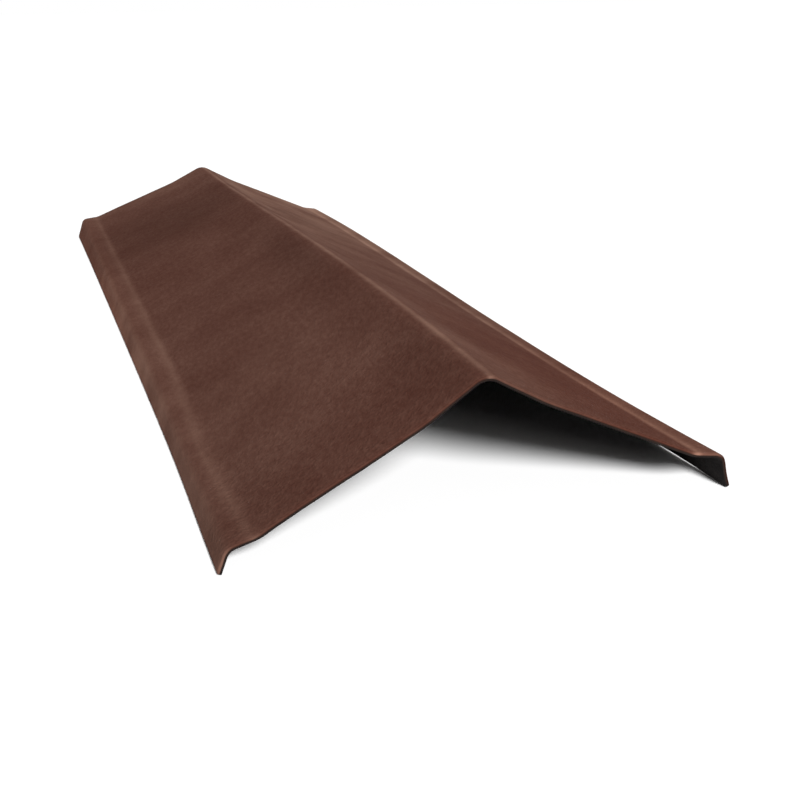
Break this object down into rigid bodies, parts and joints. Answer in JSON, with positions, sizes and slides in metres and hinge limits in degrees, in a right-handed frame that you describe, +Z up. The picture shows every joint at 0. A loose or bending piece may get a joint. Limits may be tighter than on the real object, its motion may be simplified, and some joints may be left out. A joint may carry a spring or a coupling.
{
  "type": "bitumen roof edge piece",
  "caption": "Moulded bitumen fibre sheet bent to a shallow V along a rounded ridge, with flat margins and turned-down lips, to cover the edge where two roof slopes meet.",
  "frame": {"origin": "on the floor, under the middle of the ridge", "axes": "+Y along the ridge, +X across the width, +Z up; the piece stands on its two lips"},
  "size_m": [0.3188, 1, 0.0938],
  "materials": {
    "bitumen_fibre": "matte"
  },
  "bodies": {
    "root": {"roof_edge_piece": "bitumen_fibre"}
  },
  "joints": []
}
